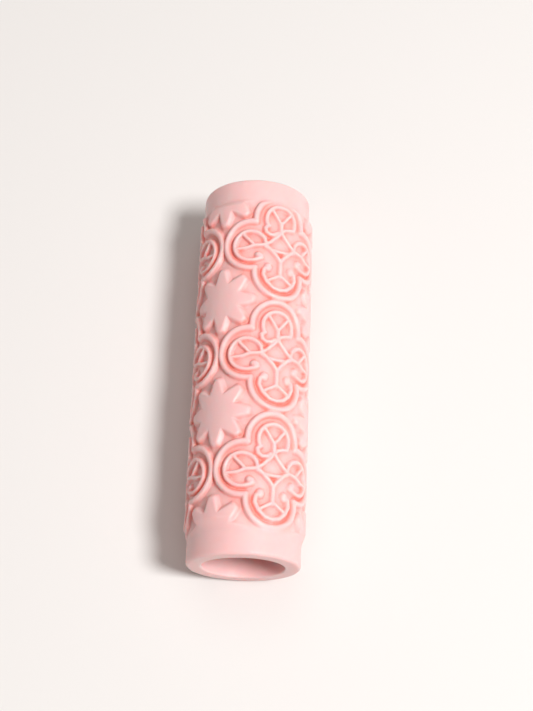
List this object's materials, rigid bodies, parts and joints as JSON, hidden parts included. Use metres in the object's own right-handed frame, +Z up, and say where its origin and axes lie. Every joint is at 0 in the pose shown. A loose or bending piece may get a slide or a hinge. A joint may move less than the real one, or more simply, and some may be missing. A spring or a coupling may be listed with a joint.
{
  "type": "textured pattern roller sleeve",
  "caption": "One-piece moulded roller sleeve with a raised tile pattern of four-lobed frames, scrolls and stars, and a plain through bore.",
  "frame": {"origin": "middle of the sleeve's axis, halfway between its two ends", "axes": "+Y along the sleeve's axis towards the end with the longer plain band, +Z up as the sleeve lies on a table, one column of four-lobed tiles turned 27.5 degrees from +Z towards +X"},
  "size_m": [0.0376, 0.125, 0.0375],
  "materials": {
    "pink_moulding": "satin, slightly translucent moulded rubber or resin"
  },
  "bodies": {
    "root": {"roller_sleeve": "pink_moulding"}
  },
  "joints": []
}
